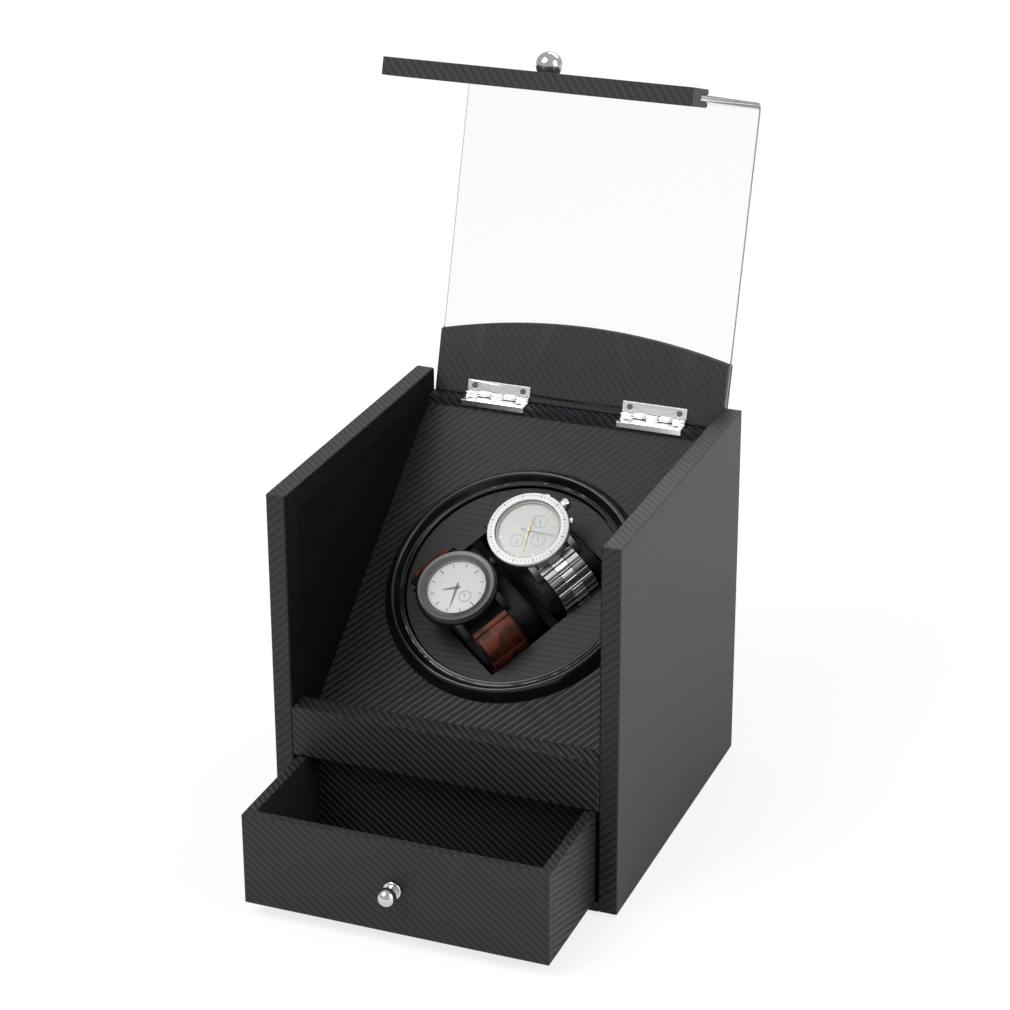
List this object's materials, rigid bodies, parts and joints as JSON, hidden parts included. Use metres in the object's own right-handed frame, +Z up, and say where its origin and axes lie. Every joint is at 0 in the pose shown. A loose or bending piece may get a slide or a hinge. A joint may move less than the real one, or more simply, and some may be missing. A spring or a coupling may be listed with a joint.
{
  "type": "watch winder box",
  "caption": "Desk box with a folding clear lid, a shallow pull-out drawer and a sloping motor-driven turntable that turns watches on removable cushions.",
  "frame": {"origin": "on the surface it stands on, under the middle of the cabinet", "axes": "+X to the right of someone facing the drawer, -Y towards the front where the drawer comes out, +Z up"},
  "size_m": [0.175, 0.3017, 0.3731],
  "materials": {
    "leatherette": "twill-embossed leatherette",
    "leatherette_side": "fine plain-grain leatherette",
    "lining": "thin flocked lining",
    "pad": "matt felt pad",
    "ring": "gloss black plastic",
    "table": "satin black plastic with a covered face",
    "clear": "clear acrylic",
    "chrome": "polished",
    "screw": "plated",
    "steel": "plain",
    "brass": "plain",
    "gear": "moulded gear plastic",
    "board": "circuit board",
    "black_plastic": "moulded plastic",
    "cushion": "soft padded leatherette",
    "watch_steel": "polished and brushed steel",
    "watch_grey": "grey coated metal",
    "dial": "white dial",
    "watch_glass": "watch glass",
    "strap": "brown leather"
  },
  "bodies": {
    "cabinet": {"side_panel_left": "leatherette_side", "side_panel_right": "leatherette_side", "side_lining_left": "lining", "side_lining_right": "lining", "base_board": "leatherette", "back_panel": "leatherette", "fascia_board": "leatherette", "bay_shelf": "leatherette", "bay_back_board": "leatherette", "turntable_board": "leatherette", "base_pad": "pad", "bezel_ring": "ring", "hinge_body_leaves": "chrome", "hinge_body_screws": "screw", "hinge_pins": "chrome", "drive_front_plate": "steel", "drive_back_plate": "steel", "drive_posts": "brass", "drive_screws": "screw", "plate_spacers": "brass", "spindle_bushes": "brass", "gear_motor": "steel", "circuit_board": "board", "board_spacers": "brass", "power_inlet": "black_plastic", "switch_housing": "black_plastic"},
    "drawer": {"drawer_front": "leatherette", "drawer_side_left": "leatherette", "drawer_side_right": "leatherette", "drawer_back": "leatherette", "drawer_bottom": "leatherette", "drawer_lining": "lining", "drawer_knob": "chrome", "drawer_knob_screw": "screw"},
    "lid": {"lid_window": "clear", "lid_front_rail": "leatherette", "lid_hinge_board_inner": "leatherette", "lid_hinge_board_outer": "leatherette", "lid_knob": "chrome", "lid_knob_screw": "screw", "hinge_lid_leaves": "chrome", "hinge_lid_screws": "screw"},
    "turntable": {"turntable_plate": "table", "turntable_wells": "table", "spindle": "steel", "turntable_gear": "gear"},
    "pinion": {"motor_pinion": "gear"},
    "rocker": {"switch_rocker": "black_plastic"},
    "steel_watch": {"cushion_right": "cushion", "steel_watch_case": "watch_steel", "steel_watch_dial": "dial", "steel_watch_glass": "watch_glass", "steel_watch_bracelet": "watch_steel"},
    "leather_watch": {"cushion_left": "cushion", "leather_watch_case": "watch_grey", "leather_watch_dial": "dial", "leather_watch_glass": "watch_glass", "leather_watch_strap": "strap"},
    "steel_crown": {"steel_watch_crown": "watch_steel"},
    "leather_crown": {"leather_watch_crown": "watch_grey"}
  },
  "joints": [
    {"name": "lid_hinge", "type": "hinge", "parent": "cabinet", "child": "lid", "pos_m": [0, 0.087, 0.1797], "axis": [1, 0, 0], "range_deg": [0, 107]},
    {"name": "drawer_slide", "type": "slide", "parent": "cabinet", "child": "drawer", "axis": [0, 1, 0], "range_m": [-0.008, 0.06]},
    {"name": "turntable_spin", "type": "hinge", "parent": "cabinet", "child": "turntable", "pos_m": [0, 0.00354, 0.11755], "axis": [0, -0.5921, 0.8059], "continuous": true},
    {"name": "pinion_spin", "type": "hinge", "parent": "cabinet", "child": "pinion", "pos_m": [0, 0.02683, 0.13466], "axis": [0, -0.5921, 0.8059], "continuous": true},
    {"name": "rocker_tilt", "type": "hinge", "parent": "cabinet", "child": "rocker", "pos_m": [0.028, 0.0881, 0.0305], "axis": [1, 0, 0], "range_deg": [-16, 0]},
    {"name": "steel_watch_pull", "type": "slide", "parent": "turntable", "child": "steel_watch", "axis": [0, -0.5921, 0.8059], "range_m": [0, 0.022]},
    {"name": "leather_watch_pull", "type": "slide", "parent": "turntable", "child": "leather_watch", "axis": [0, -0.5921, 0.8059], "range_m": [0, 0.022]},
    {"name": "steel_crown_turn", "type": "hinge", "parent": "steel_watch", "child": "steel_crown", "pos_m": [0.01827, 0.02033, 0.15495], "axis": [0.5736, 0.6601, 0.485], "continuous": true},
    {"name": "leather_crown_turn", "type": "hinge", "parent": "leather_watch", "child": "leather_crown", "pos_m": [-0.00754, -0.00937, 0.13312], "axis": [0.5736, 0.6601, 0.485], "continuous": true}
  ],
  "couplings": [
    {"joint": "pinion_spin", "follows": "turntable_spin", "ratio": -3}
  ]
}
